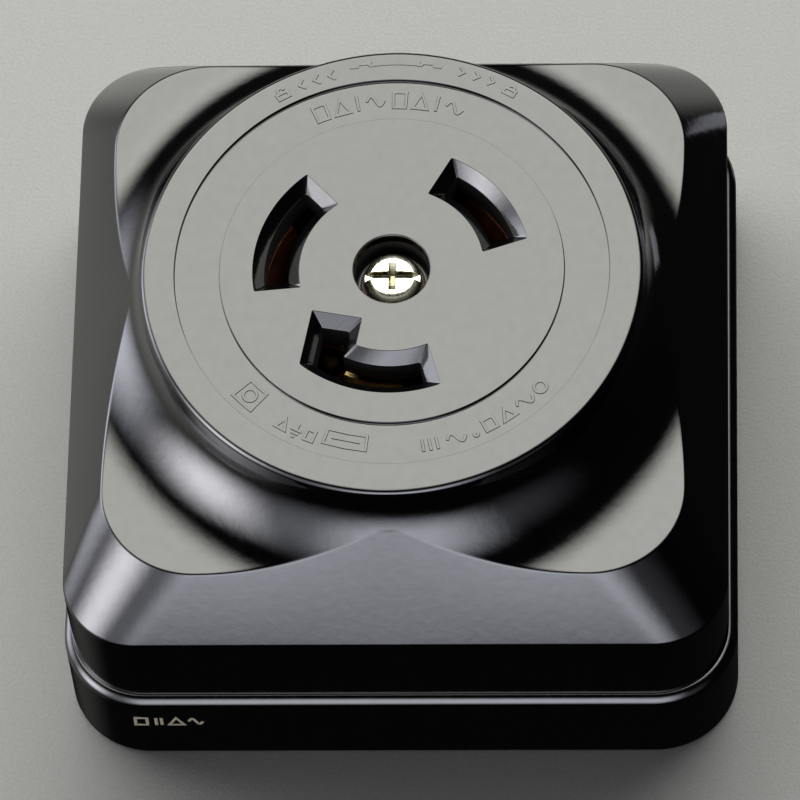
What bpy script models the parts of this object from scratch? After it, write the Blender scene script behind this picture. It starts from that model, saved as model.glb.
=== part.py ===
"""Surface-mounted three-pole 30 A locking socket outlet, lying on its back.

The back of the base is on z = 0 and +Z points out of the socket face. X runs to the right and Y
towards the side of the face that carries the unlock and lock marks. Dimensions are in millimetres
and become metres where a shape is made.
"""

import math

import bmesh
import bpy
from mathutils import Matrix, Vector

MM = 0.001
GAP = 0.3  # clearance kept between pieces that touch

# Base tray
BASE_HALF = 43.1
BASE_CORNER = 10.7
BASE_HEIGHT = 14.8
BASE_EDGE = 0.9
BASE_FLOOR = 4.0
RIM_TOP = 18.4  # upstand that centres the cover
RIM_THICK = 1.8
PAD_TOP = 17.7
PAD_WIDTH = 15.0
PAD_R = (5.0, 35.0)
PILLAR_R = 7.0
PILLAR_TOP = 30.0
INSERT_HOLE_R = 4.1
INSERT_R = (2.3, 3.8)
INSERT_Z = (20.0, 29.8)
MOUNT_HOLE_AT = 29.5
MOUNT_HOLE_R = 2.4
MOUNT_BOSS_R = 6.0
MOUNT_BOSS_TOP = 8.0
WIRE_HOLE_AT = (27.0, -8.0)
WIRE_HOLE_R = 9.5
KNOCKOUT_HALF_WIDTH = 9.0
KNOCKOUT_WEB = 1.2
KNOCKOUT_TOP = 12.5

# Cover shell
COVER_HALF = 42.0
COVER_CORNER = 9.6
COVER_BOTTOM = BASE_HEIGHT + GAP
SKIRT_TOP = 29.2
PLATEAU_HALF = 36.6
PLATEAU_CORNER = 12.1
PLATEAU_Z = 38.7
FACE_Z = 50.9
BOSS_R = 31.5
BOSS_EDGE = 0.3
FILLET_R = FACE_Z - PLATEAU_Z
WAIST_Z = 44.2  # height where the sloping sides just touch the concave fillet
WALL = 2.5
WEB_BOTTOM = 45.9
BOSS_BORE_R = 28.5
CHANNEL_R = (21.65, 27.35)
CHANNEL_DEPTH = 0.5
RECESS_R = 4.8
SEAT_Z = 45.8
TUBE_R = (4.6, 7.0)
TUBE_BORE_TOP = 42.6
TUBE_BOTTOM = PILLAR_TOP + GAP
SCREW_HOLE_R = 2.4

# Slots for the plug blades: radii and end directions of each throat
SLOT_R = (13.1, 16.0)
SLOT_CHAMFER = 1.5
SLOT_CHAMFER_DEPTH = 1.5
SLOT_LEFT = (133.7, 185.4)
SLOT_RIGHT = (19.0, 60.5)
SLOT_FRONT_END = -73.4
HOOK_AXIS = -100.4  # the hooked end of the front slot is square to this direction
HOOK_NEAR = 9.0
HOOK_SIDES = (3.7, 7.15)
SLOT_STEPS = 12

# Contacts and terminals
POLES = {"left": 159.5, "right": 39.75, "front": -101.0}
STRAP_Z = PAD_TOP + GAP
STRAP_THICK = 1.5
STRAP_TOP = STRAP_Z + STRAP_THICK
STRAP_WIDTH = 11.0
STRAP_R = (14.3, 34.0)
JAW_TOP = 44.0
JAW_HALF_ARC = 17.0
JAW_FLARE = 0.9
JAW_FLARE_HEIGHT = 2.4
OUTER_JAW_R = (15.4, 16.4)
LEAF_R = (12.9, 13.7)
LEAF_THICK = LEAF_R[1] - LEAF_R[0]
LEAF_FOOT_R = 7.6
LEAF_FOOT_WIDTH = 6.0
LEAF_RIVET_AT = 10.1
CONTACT_RIVET_AT = 19.6
RIVET_HOLE_R = 1.5
RIVET_SINK_R = 2.9
RIVET_SINK_DEPTH = 2.6
TERMINAL_AT = 28.4
NUT_SIDE = 9.6
NUT_HEIGHT = 3.5
TERMINAL_SHANK_R = 2.2
TERMINAL_HEAD_R = 4.4
TERMINAL_SLOT = 1.2
WASHER_THICK = 1.2
WASHER_HOLE_R = 2.8

# Cover screw
COVER_SHANK_R = 2.0
COVER_SHANK_END = 22.5
COVER_HEAD_R = 3.66
HEAD_WASHER_R = (2.3, 4.1)
HEAD_WASHER_THICK = 0.8
RETAINER_Z = (33.0, 34.0)

ROUND = 64  # sides of the large round shapes
SMALL_ROUND = 28
CORNER_STEPS = 8
MERGE = 2e-6  # metres
REACH = 1.0  # how far a cutter runs past the surface it opens

# Base colour, metallic, roughness
MATERIALS = {
    "black_phenolic": ((0.012, 0.012, 0.014, 1.0), 0.0, 0.15),
    "nickel_plate": ((0.72, 0.68, 0.58, 1.0), 1.0, 0.25),
    "brass": ((0.72, 0.52, 0.24, 1.0), 1.0, 0.3),
    "phosphor_bronze": ((0.62, 0.33, 0.18, 1.0), 1.0, 0.35),
    "zinc_steel": ((0.6, 0.6, 0.58, 1.0), 1.0, 0.35),
    "fibre": ((0.12, 0.05, 0.04, 1.0), 0.0, 0.6),
}


# ---------------------------------------------------------------- shapes


def polar(radius, degrees):
    angle = math.radians(degrees)
    return (radius * math.cos(angle), radius * math.sin(angle))


def new_object(name, mesh):
    """An object from a bmesh, which is freed."""
    bmesh.ops.remove_doubles(mesh, verts=mesh.verts, dist=MERGE)
    bmesh.ops.recalc_face_normals(mesh, faces=mesh.faces)
    data = bpy.data.meshes.new(name)
    mesh.to_mesh(data)
    mesh.free()
    made = bpy.data.objects.new(name, data)
    bpy.context.scene.collection.objects.link(made)
    return made


def cylinder(name, radius, low, high, at=(0.0, 0.0), steps=SMALL_ROUND):
    mesh = bmesh.new()
    middle = Matrix.Translation(Vector((*at, (low + high) / 2)) * MM)
    bmesh.ops.create_cone(
        mesh,
        cap_ends=True,
        segments=steps,
        radius1=radius * MM,
        radius2=radius * MM,
        depth=(high - low) * MM,
        matrix=middle,
    )
    return new_object(name, mesh)


def box(name, centre, size, degrees=0.0):
    """A box turned about its own vertical axis."""
    mesh = bmesh.new()
    place = Matrix.Translation(Vector(centre) * MM)
    turn = Matrix.Rotation(math.radians(degrees), 4, "Z")
    shape = Matrix.Diagonal((*[side * MM for side in size], 1.0))
    bmesh.ops.create_cube(mesh, size=1.0, matrix=place @ turn @ shape)
    return new_object(name, mesh)


def radial_box(name, degrees, radii, width, low, high):
    """A box whose length runs straight out from the socket's centre line."""
    x, y = polar(sum(radii) / 2, degrees)
    size = (radii[1] - radii[0], width, high - low)
    return box(name, (x, y, (low + high) / 2), size, degrees)


def turned(name, profile, at=(0.0, 0.0), steps=SMALL_ROUND, ring=False):
    """A profile of radius and height pairs, down its outer side, turned by a Screw modifier."""
    mesh = bmesh.new()
    points = [mesh.verts.new((r * MM, 0, z * MM)) for r, z in profile]
    pairs = list(zip(points, points[1:]))
    if ring:
        pairs.append((points[-1], points[0]))
    for pair in pairs:
        mesh.edges.new(pair)
    made = new_object(name, mesh)
    made.location = (at[0] * MM, at[1] * MM, 0)
    screw = made.modifiers.new("Screw", "SCREW")
    screw.axis = "Z"
    screw.steps = screw.render_steps = steps
    screw.use_merge_vertices = True
    screw.merge_threshold = MERGE
    return made


def tube(name, radii, low, high, at=(0.0, 0.0)):
    inner, outer = radii
    profile = [(inner, high), (outer, high), (outer, low), (inner, low)]
    return turned(name, profile, at, ring=True)


def lofted(name, sections):
    """A solid through sections with equal numbers of points: each is an outline and a height."""
    mesh = bmesh.new()
    rows = [
        [mesh.verts.new((x * MM, y * MM, z * MM)) for x, y in outline] for outline, z in sections
    ]
    mesh.faces.new(rows[0])
    mesh.faces.new(rows[-1])
    for low, high in zip(rows, rows[1:]):
        for i, corner in enumerate(low):
            j = (i + 1) % len(low)
            mesh.faces.new((corner, low[j], high[j], high[i]))
    bmesh.ops.triangulate(mesh, faces=mesh.faces)
    return new_object(name, mesh)


def evaluated_mesh(obj):
    graph = bpy.context.evaluated_depsgraph_get()
    return bpy.data.meshes.new_from_object(obj.evaluated_get(graph))


def combine(target, tool, operation):
    """Applies one exact Boolean, merges corners it leaves a hair apart, and removes the tool."""
    modifier = target.modifiers.new("Boolean", "BOOLEAN")
    modifier.operation = operation
    modifier.solver = "EXACT"
    modifier.object = tool
    mesh = bmesh.new()
    mesh.from_mesh(evaluated_mesh(target))
    bmesh.ops.remove_doubles(mesh, verts=mesh.verts, dist=MERGE)
    bmesh.ops.dissolve_degenerate(mesh, dist=MERGE / 2, edges=mesh.edges)
    target.modifiers.clear()
    mesh.to_mesh(target.data)
    mesh.free()
    bpy.data.objects.remove(tool, do_unlink=True)
    return target


def cut(target, *tools):
    for tool in tools:
        combine(target, tool, "DIFFERENCE")
    return target


def join(target, *tools):
    for tool in tools:
        combine(target, tool, "UNION")
    return target


def put_origin(obj, point):
    """Moves the object's origin to a point on its joint's axis and leaves its shape in place."""
    shift = Vector(point) * MM - obj.location
    obj.data.transform(Matrix.Translation(-shift))
    obj.location += shift
    return obj


def rounded_square(half, corner, steps=CORNER_STEPS):
    """Outline of a square with rounded corners, anticlockwise from above."""
    outline = []
    for quarter in range(4):
        middle = 45 + 90 * quarter
        cx, cy = polar((half - corner) * math.sqrt(2), middle)
        for step in range(steps + 1):
            x, y = polar(corner, middle - 45 + 90 * step / steps)
            outline.append((cx + x, cy + y))
    return outline


def arc(radius, start, end, steps=SLOT_STEPS):
    return [polar(radius, start + (end - start) * step / steps) for step in range(steps + 1)]


# ---------------------------------------------------------------- cover


def fillet_profile(steps=12):
    """The concave side of the boss, from the top down to the plateau."""
    points = []
    for step in range(steps + 1):
        angle = math.radians(90 * step / steps)
        r = BOSS_R + FILLET_R * (1 - math.cos(angle))
        z = FACE_Z - FILLET_R * math.sin(angle)
        points.append((r, min(z, FACE_Z - BOSS_EDGE)))
    return points


def cover_top_limit():
    """All the space below the cover's top surface: face, ring channel, fillet and plateau."""
    inner, outer = CHANNEL_R
    far = 2 * COVER_HALF
    profile = [
        (0, FACE_Z),
        (inner, FACE_Z),
        (inner, FACE_Z - CHANNEL_DEPTH),
        (outer, FACE_Z - CHANNEL_DEPTH),
        (outer, FACE_Z),
        (BOSS_R - BOSS_EDGE, FACE_Z),
        (BOSS_R - 0.3 * BOSS_EDGE, FACE_Z - 0.3 * BOSS_EDGE),
    ]
    profile += fillet_profile()
    profile += [(far, PLATEAU_Z), (far, 0), (0, 0)]
    return turned("cover_top_limit", profile, steps=96)


def side_at(z):
    """Half width and corner radius of the sloping sides at a height."""
    share = (z - SKIRT_TOP) / (PLATEAU_Z - SKIRT_TOP)
    half = COVER_HALF + share * (PLATEAU_HALF - COVER_HALF)
    corner = COVER_CORNER + share * (PLATEAU_CORNER - COVER_CORNER)
    return half, corner


def cover_outside():
    """Skirt and sloping sides up to the waist, a round core above, all under the top surface."""
    skirt = rounded_square(COVER_HALF, COVER_CORNER)
    waist = side_at(WAIST_Z)
    body = lofted(
        "cover", [(skirt, COVER_BOTTOM), (skirt, SKIRT_TOP), (rounded_square(*waist), WAIST_Z)]
    )
    join(body, cylinder("core", waist[0], SKIRT_TOP, FACE_Z + REACH, steps=96))
    return combine(body, cover_top_limit(), "INTERSECT")


def cover_cavity():
    """The hollow under the cover: square below, round inside the boss."""
    slope_low, slope_high = SKIRT_TOP - 1.2, PLATEAU_Z - 3.0
    high_half, high_corner = side_at(slope_high)
    low = rounded_square(COVER_HALF - WALL, COVER_CORNER - WALL)
    high = rounded_square(high_half - 2.9, high_corner - WALL)
    cavity = lofted(
        "cavity", [(low, COVER_BOTTOM - REACH), (low, slope_low), (high, slope_high)]
    )
    return join(cavity, cylinder("boss_bore", BOSS_BORE_R, slope_low, WEB_BOTTOM, steps=ROUND))


def arc_slot_outline(start, end, grow=0.0):
    """An arc slot with radial ends, grown on all sides by a distance."""
    inner, outer = SLOT_R[0] - grow, SLOT_R[1] + grow
    inner_shift = math.degrees(math.asin(grow / inner))
    outer_shift = math.degrees(math.asin(grow / outer))
    return arc(inner, start - inner_shift, end + inner_shift) + arc(
        outer, end + outer_shift, start - outer_shift
    )


def hook_point(along, side):
    """A point given by its distance along the hook's direction and to the left of it."""
    x, y = polar(along, HOOK_AXIS)
    dx, dy = polar(side, HOOK_AXIS - 90)
    return (x + dx, y + dy)


def hook_slot_outline(grow=0.0):
    """The front slot: an arc whose left end turns in towards the centre."""
    near = HOOK_NEAR - grow
    left, right = HOOK_SIDES[1] + grow, HOOK_SIDES[0] - grow
    inner, outer = SLOT_R[0] - grow, SLOT_R[1] + grow
    left_angle = HOOK_AXIS - math.degrees(math.asin(left / outer))
    right_angle = HOOK_AXIS - math.degrees(math.asin(right / inner))
    inner_end = SLOT_FRONT_END + math.degrees(math.asin(grow / inner))
    outer_end = SLOT_FRONT_END + math.degrees(math.asin(grow / outer))
    return [
        hook_point(near, left),
        *arc(outer, left_angle, outer_end),
        *arc(inner, inner_end, right_angle),
        hook_point(near, right),
    ]


def slot_cutter(name, throat, mouth):
    """Straight throat through the face, and a funnel whose sides run on a little above it."""
    over = 0.5
    share = 1 + over / SLOT_CHAMFER_DEPTH
    above = [
        (tx + (mx - tx) * share, ty + (my - ty) * share) for (tx, ty), (mx, my) in zip(throat, mouth)
    ]
    return lofted(
        name,
        [
            (throat, WEB_BOTTOM - REACH),
            (throat, FACE_Z - SLOT_CHAMFER_DEPTH),
            (above, FACE_Z + over),
        ],
    )


def make_cover():
    cover = cut(cover_outside(), cover_cavity())
    join(cover, cylinder("tube", TUBE_R[1], TUBE_BOTTOM, WEB_BOTTOM + REACH))
    cut(
        cover,
        cylinder("screw_recess", RECESS_R, SEAT_Z, FACE_Z + REACH, steps=48),
        cylinder("screw_hole", SCREW_HOLE_R, TUBE_BOTTOM - REACH, FACE_Z),
        cylinder("tube_bore", TUBE_R[0], TUBE_BOTTOM - REACH, TUBE_BORE_TOP),
    )
    for name, ends in (("left_slot", SLOT_LEFT), ("right_slot", SLOT_RIGHT)):
        mouth = arc_slot_outline(*ends, SLOT_CHAMFER)
        cut(cover, slot_cutter(name, arc_slot_outline(*ends), mouth))
    return cut(
        cover, slot_cutter("front_slot", hook_slot_outline(), hook_slot_outline(SLOT_CHAMFER))
    )


# ---------------------------------------------------------------- base


def base_outside(edge_steps=3):
    sections = [(rounded_square(BASE_HALF, BASE_CORNER), 0)]
    for step in range(edge_steps + 1):
        angle = math.radians(90 * step / edge_steps)
        inset = BASE_EDGE * (1 - math.cos(angle))
        z = BASE_HEIGHT - BASE_EDGE * (1 - math.sin(angle))
        sections.append((rounded_square(BASE_HALF - inset, BASE_CORNER - inset), z))
    return lofted("base", sections)


def make_base():
    base = base_outside()
    rim_half = COVER_HALF - WALL - GAP
    rim_corner = COVER_CORNER - WALL - GAP
    rim = rounded_square(rim_half, rim_corner)
    inside = rounded_square(rim_half - RIM_THICK, rim_corner - RIM_THICK)
    join(base, lofted("rim", [(rim, BASE_FLOOR), (rim, RIM_TOP)]))
    cut(base, lofted("hollow", [(inside, BASE_FLOOR), (inside, RIM_TOP + REACH)]))
    join(base, cylinder("pillar", PILLAR_R, BASE_FLOOR - REACH, PILLAR_TOP))
    for angle in POLES.values():
        add_pad(base, angle)
    for side in (-1, 1):
        add_mounting_hole(base, (side * MOUNT_HOLE_AT, -side * MOUNT_HOLE_AT))
    return cut(
        base,
        cylinder("insert_hole", INSERT_HOLE_R, INSERT_Z[0] - GAP, PILLAR_TOP + REACH),
        cylinder("wire_hole", WIRE_HOLE_R, -REACH, BASE_FLOOR + REACH, WIRE_HOLE_AT, steps=40),
        knockout_recess(rim_half - RIM_THICK),
    )


def add_pad(base, angle):
    """The block under one contact, with its nut pocket, screw relief and rivet holes."""
    join(base, radial_box("pad", angle, PAD_R, PAD_WIDTH, BASE_FLOOR - REACH, PAD_TOP))
    half = NUT_SIDE / 2 + GAP
    radii = (TERMINAL_AT - half, TERMINAL_AT + half)
    bottom = PAD_TOP - NUT_HEIGHT - GAP
    cut(base, radial_box("nut_pocket", angle, radii, 2 * half, bottom, PAD_TOP + REACH))
    cut(base, cylinder("relief", WASHER_HOLE_R, 6, PAD_TOP, polar(TERMINAL_AT, angle)))
    for radius in (LEAF_RIVET_AT, CONTACT_RIVET_AT):
        at = polar(radius, angle)
        cut(base, cylinder("rivet_hole", RIVET_HOLE_R, -REACH, PAD_TOP + REACH, at, steps=20))
        cut(base, cylinder("rivet_sink", RIVET_SINK_R, -REACH, RIVET_SINK_DEPTH, at, steps=24))


def add_mounting_hole(base, at):
    join(base, cylinder("boss", MOUNT_BOSS_R, BASE_FLOOR - REACH, MOUNT_BOSS_TOP, at))
    cut(base, cylinder("hole", MOUNT_HOLE_R, -REACH, MOUNT_BOSS_TOP + REACH, at))


def knockout_recess(inner_half):
    """Thins the side wall from inside to a web that is broken out for a surface cable."""
    near, far = inner_half - REACH, BASE_HALF - KNOCKOUT_WEB
    centre = (0, (near + far) / 2, (BASE_FLOOR + KNOCKOUT_TOP) / 2)
    size = (2 * KNOCKOUT_HALF_WIDTH, far - near, KNOCKOUT_TOP - BASE_FLOOR)
    return box("knockout", centre, size)


# ---------------------------------------------------------------- contacts and terminals


def jaw(name, angle, radii, flare):
    """One curved jaw of a blade clip, with its top edge bent aside as a lead-in."""
    start, end = angle - JAW_HALF_ARC, angle + JAW_HALF_ARC
    inner, outer = radii

    def section(shift):
        return arc(inner + shift, start, end) + arc(outer + shift, end, start)

    return lofted(
        name,
        [(section(0), STRAP_Z), (section(0), JAW_TOP - JAW_FLARE_HEIGHT), (section(flare), JAW_TOP)],
    )


def make_contact(name, angle):
    """Strap with the fixed outer jaw of the blade clip standing on its inner end."""
    contact = jaw(f"contact_{name}", angle, OUTER_JAW_R, JAW_FLARE)
    join(contact, radial_box("strap", angle, STRAP_R, STRAP_WIDTH, STRAP_Z, STRAP_TOP))
    for radius, hole_r in ((CONTACT_RIVET_AT, RIVET_HOLE_R), (TERMINAL_AT, WASHER_HOLE_R)):
        at = polar(radius, angle)
        cut(contact, cylinder("hole", hole_r, STRAP_Z - REACH, STRAP_TOP + REACH, at))
    return contact


def make_contact_leaf(name, angle):
    """The springy inner jaw, which bends towards the centre as a blade goes in."""
    leaf = jaw(f"contact_leaf_{name}", angle, LEAF_R, -JAW_FLARE)
    foot_top = STRAP_Z + LEAF_THICK
    radii = (LEAF_FOOT_R, sum(LEAF_R) / 2)
    join(leaf, radial_box("foot", angle, radii, LEAF_FOOT_WIDTH, STRAP_Z, foot_top))
    at = polar(LEAF_RIVET_AT, angle)
    cut(leaf, cylinder("hole", RIVET_HOLE_R, STRAP_Z - REACH, foot_top + REACH, at, steps=20))
    return put_origin(leaf, (*polar(sum(LEAF_R) / 2, angle), STRAP_Z + LEAF_THICK / 2))


def make_rivet(name, at, plate_top):
    """Solid rivet: round head above the metal, spread end sunk in the back of the base."""
    head = plate_top + GAP
    profile = [
        (0, head + 1.3),
        (1.3, head + 1.1),
        (1.9, head + 0.5),
        (1.9, head),
        (1.1, head),
        (1.1, 2.3),
        (2.4, 1.8),
        (2.4, 0.9),
        (0, 0.9),
    ]
    return turned(name, profile, at, steps=20)


def square_washer(name, angle, low, high, hole_r):
    """A square plate with a round hole, its origin on the hole's axis."""
    radii = (TERMINAL_AT - NUT_SIDE / 2, TERMINAL_AT + NUT_SIDE / 2)
    at = polar(TERMINAL_AT, angle)
    plate = radial_box(name, angle, radii, NUT_SIDE, low, high)
    cut(plate, cylinder("hole", hole_r, low - REACH, high + REACH, at))
    return put_origin(plate, (*at, low))


def make_terminal_screw(name, angle):
    """Pan-head screw with a straight slot."""
    at = polar(TERMINAL_AT, angle)
    head = STRAP_TOP + WASHER_THICK + 2 * GAP
    profile = [
        (0, head + 2.9),
        (TERMINAL_HEAD_R - 0.8, head + 2.7),
        (TERMINAL_HEAD_R, head + 1.9),
        (TERMINAL_HEAD_R, head),
        (TERMINAL_SHANK_R, head),
        (TERMINAL_SHANK_R, 8.8),
        (1.6, 8.0),
        (0, 8.0),
    ]
    screw = turned(f"terminal_screw_{name}", profile, at, steps=32)
    size = (3 * TERMINAL_HEAD_R, TERMINAL_SLOT, 2.6)
    cut(screw, box("slot", (*at, head + 2.8), size, angle + 25))
    return put_origin(screw, (*at, head))


def make_terminal(name, angle):
    """Nut in its pocket, clamp washer and screw."""
    washer_low = STRAP_TOP + GAP
    nut = square_washer(
        f"terminal_nut_{name}", angle, PAD_TOP - NUT_HEIGHT, PAD_TOP, TERMINAL_SHANK_R + GAP
    )
    washer = square_washer(
        f"terminal_washer_{name}", angle, washer_low, washer_low + WASHER_THICK, WASHER_HOLE_R
    )
    return nut, washer, make_terminal_screw(name, angle)


# ---------------------------------------------------------------- cover screw and its fittings


def make_cover_screw():
    """Long pan-head screw, down through the cover to the insert, with a cross and a slot."""
    head = SEAT_Z + HEAD_WASHER_THICK + 2 * GAP
    r = COVER_HEAD_R
    profile = [
        (0, head + 2.2),
        (r - 1.7, head + 2.0),
        (r - 0.5, head + 1.5),
        (r, head + 0.7),
        (r, head),
        (COVER_SHANK_R, head),
        (COVER_SHANK_R, COVER_SHANK_END + 0.7),
        (1.5, COVER_SHANK_END),
        (0, COVER_SHANK_END),
    ]
    screw = turned("cover_screw", profile, steps=32)
    cut(screw, box("slot", (0, 0, head + 2.7), (3 * r, 1.0, 3.0)))
    cut(screw, box("cross", (0, 0, head + 2.3), (1.0, 3.8, 3.0)))
    return put_origin(screw, (0, 0, head))


def screw_fittings():
    low = SEAT_Z + GAP
    washer = tube("cover_screw_washer", HEAD_WASHER_R, low, low + HEAD_WASHER_THICK)
    retainer = tube("cover_screw_retainer", HEAD_WASHER_R, *RETAINER_Z)
    insert = tube("cover_screw_insert", INSERT_R, *INSERT_Z)
    return washer, retainer, insert


# ---------------------------------------------------------------- assembly


def make_parts():
    """Every piece, listed under its material."""
    washer, retainer, insert = screw_fittings()
    parts = {
        "black_phenolic": [make_base(), make_cover()],
        "nickel_plate": [make_cover_screw()],
        "fibre": [washer, retainer],
        "brass": [insert],
        "phosphor_bronze": [],
        "zinc_steel": [],
    }
    for name, angle in POLES.items():
        nut, clamp, screw = make_terminal(name, angle)
        contact_rivet = make_rivet(
            f"contact_rivet_{name}", polar(CONTACT_RIVET_AT, angle), STRAP_TOP
        )
        leaf_rivet = make_rivet(
            f"leaf_rivet_{name}", polar(LEAF_RIVET_AT, angle), STRAP_Z + LEAF_THICK
        )
        contact_metal = "brass" if name == "front" else "phosphor_bronze"
        parts[contact_metal] += [make_contact(name, angle), make_contact_leaf(name, angle)]
        parts["brass"] += [nut, contact_rivet, leaf_rivet]
        parts["zinc_steel"] += [clamp, screw]
    return parts


def new_material(name, colour, metallic, roughness):
    made = bpy.data.materials.new(name)
    made.use_nodes = True
    shader = made.node_tree.nodes["Principled BSDF"]
    shader.inputs["Base Color"].default_value = colour
    shader.inputs["Metallic"].default_value = metallic
    shader.inputs["Roughness"].default_value = roughness
    return made


def finish(obj, material, collection):
    """Gives the piece its material and shading, and moves it to the object's collection."""
    obj.data.shade_smooth()
    obj.data.set_sharp_from_angle(angle=math.radians(35))
    obj.data.materials.clear()
    obj.data.materials.append(material)
    bpy.context.scene.collection.objects.unlink(obj)
    collection.objects.link(obj)


def main():
    for obj in list(bpy.data.objects):
        bpy.data.objects.remove(obj, do_unlink=True)
    collection = bpy.data.collections.new("locking_socket_outlet")
    bpy.context.scene.collection.children.link(collection)
    for name, pieces in make_parts().items():
        material = new_material(name, *MATERIALS[name])
        for piece in pieces:
            finish(piece, material, collection)


main()
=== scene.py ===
import math

import bmesh
import bpy
from mathutils import Matrix, Vector


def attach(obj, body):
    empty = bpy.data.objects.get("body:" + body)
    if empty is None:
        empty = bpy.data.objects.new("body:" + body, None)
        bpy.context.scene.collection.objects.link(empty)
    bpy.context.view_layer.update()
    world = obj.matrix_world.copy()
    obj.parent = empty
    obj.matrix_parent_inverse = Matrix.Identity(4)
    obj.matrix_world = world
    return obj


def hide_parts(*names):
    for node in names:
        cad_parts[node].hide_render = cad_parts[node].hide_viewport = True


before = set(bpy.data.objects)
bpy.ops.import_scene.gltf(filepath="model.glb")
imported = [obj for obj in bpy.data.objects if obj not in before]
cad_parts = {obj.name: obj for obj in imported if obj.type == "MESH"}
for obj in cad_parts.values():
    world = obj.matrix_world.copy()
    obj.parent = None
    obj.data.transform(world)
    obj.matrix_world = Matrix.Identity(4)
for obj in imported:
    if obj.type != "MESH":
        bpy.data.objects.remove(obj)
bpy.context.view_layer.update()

# Looks of a surface-mounted three-pole locking socket outlet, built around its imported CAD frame.
# Lengths are in millimetres and angles in degrees unless a comment says otherwise.

MM = 0.001  # metres

# ---------------------------------------------------------------- driving dimensions

# Base tray
BASE_HALF = 43.1
BASE_CORNER = 10.7
BASE_HEIGHT = 14.8
BASE_EDGE = 1.5
BASE_FOOT_EDGE = 0.3
BASE_FLOOR = 4.0
RIM_HALF = 39.2
RIM_THICK = 1.8
RIM_TOP = 18.4
RIM_EDGE = 0.3
POST_EDGE = 0.4
PAD_R = (5.0, 35.0)
PAD_WIDTH = 15.0
PAD_TOP = 17.7
PAD_EDGE = 0.35
PILLAR_R = 7.0
PILLAR_TOP = 30.0
INSERT_HOLE_R = 4.1
INSERT_BOTTOM = 19.7
MOUNT_HOLES_AT = ((-29.5, 29.5), (29.5, -29.5))
MOUNT_HOLE_R = 2.4
MOUNT_BOSS_R = 6.0
MOUNT_BOSS_TOP = 8.0
WIRE_HOLE_AT = (27.0, -8.0)
WIRE_HOLE_R = 9.5
KNOCKOUT_HALF_WIDTH = 9.0
KNOCKOUT_WEB = 1.2
KNOCKOUT_TOP = 12.5

# Cover
COVER_HALF = 42.0
COVER_CORNER = 9.6
COVER_BOTTOM = 15.1
SKIRT_TOP = 29.2
PLATEAU_HALF = 36.6
PLATEAU_CORNER = 12.1
PLATEAU_Z = 38.7
FACE_Z = 50.9
BOSS_R = 31.5
FILLET_R = FACE_Z - PLATEAU_Z
WAIST_Z = 44.2
FACE_EDGE = 0.75
PLATEAU_EDGE = 0.32
SKIRT_EDGE = 0.35
COVER_FOOT_EDGE = 0.06
WALL = 2.5
CAVITY_EDGE = 0.6
CAVITY_LOW_Z = 28.0
CAVITY_HIGH_Z = 35.7
CAVITY_INSET = 2.9
BOSS_BORE_R = 28.5
WEB_BOTTOM = 45.9
CHANNEL_R = (21.65, 27.35)
CHANNEL_DEPTH = 0.5
CHANNEL_EDGE = 0.08
CHANNEL_DRAFT = 0.03
RECESS_R = 4.8
SEAT_Z = 45.8
TUBE_R = (4.6, 7.0)
TUBE_BORE_TOP = 42.6
TUBE_BOTTOM = 30.3
SCREW_HOLE_R = 2.4

# Slots for the plug blades
SLOT_R = (13.1, 16.0)
SLOT_CHAMFER = 1.5
SLOT_CHAMFER_DEPTH = 1.5
SLOT_LIP_EDGE = 0.07
SLOT_THROAT_EDGE = 0.12
SLOT_CORNER = 0.2
SLOT_LEFT = (133.7, 185.4)
SLOT_RIGHT = (19.0, 60.5)
SLOT_FRONT_END = -73.4
HOOK_AXIS = -100.4
HOOK_NEAR = 9.0
HOOK_SIDES = (3.7, 7.15)

# Contacts, terminals and screws
GAP = 0.3
OVERLAP = 1.0  # how far a post is sunk or a cutter reaches past what it cuts
POLES = {"left": 159.5, "right": 39.75, "front": -101.0}
POLE_METALS = {"left": "phosphor_bronze", "right": "phosphor_bronze", "front": "brass"}
STRAP_Z = (18.0, 19.5)
STRAP_R = (14.3, 34.0)
STRAP_WIDTH = 11.0
JAW_R = (15.4, 16.4)
JAW_TOP = 44.0
JAW_HALF_ARC = 17.0
JAW_FLARE = 0.9
JAW_FLARE_HEIGHT = 2.4
JAW_FLARE_EDGE = 1.5
LEAF_R = (12.9, 13.7)
LEAF_FOOT_R = 7.6
LEAF_FOOT_WIDTH = 6.0
LEAF_THICK = 0.8
LEAF_RIVET_AT = 10.1
CONTACT_RIVET_AT = 19.6
NUT_SIDE = 9.6
NUT_HEIGHT = 3.5
NUT_TOP = 17.7
NUT_HOLE_R = 2.5
CLAMP_Z = (19.8, 21.0)
TERMINAL_AT = 28.4
TERMINAL_HEAD_TOP = 24.2
TERMINAL_HEAD_R = 4.4
TERMINAL_HEAD_LOW = 21.3
TERMINAL_SHANK_R = 2.2
TERMINAL_END = 8.0
TERMINAL_PITCH = 0.8
TERMINAL_SLOT = 1.2
TERMINAL_SLOT_HEIGHT = 2.6
TERMINAL_SLOT_TURN = 25.0
WASHER_HOLE_R = 2.8
RIVETS_AT = (LEAF_RIVET_AT, CONTACT_RIVET_AT)
RIVET_HOLE_R = 1.5
RIVET_SINK_R = 2.9
RIVET_SINK_DEPTH = 2.6
RELIEF_BOTTOM = 6.0  # of the clearance hole under each nut
HEAD_R = 3.66
HEAD_BOTTOM = 47.2
HEAD_TOP = 49.4
DRIVER_R = 2.4
SHANK_R = 2.0
SHANK_END = 22.5
SCREW_PITCH = 0.7
COVER_THREAD_TOP = 32.0
THREAD_ROOT = 0.12  # share of half a pitch that is flat at the thread's root
THREAD_FLANK = 0.7  # share that slopes
THREAD_ROWS = 10  # rows of points to a pitch
POINT_LENGTH = 0.6
HEAD_WASHER_R = (2.3, 4.1)
HEAD_WASHER_Z = (46.1, 46.9)
RETAINER_Z = (33.0, 34.0)
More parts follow.
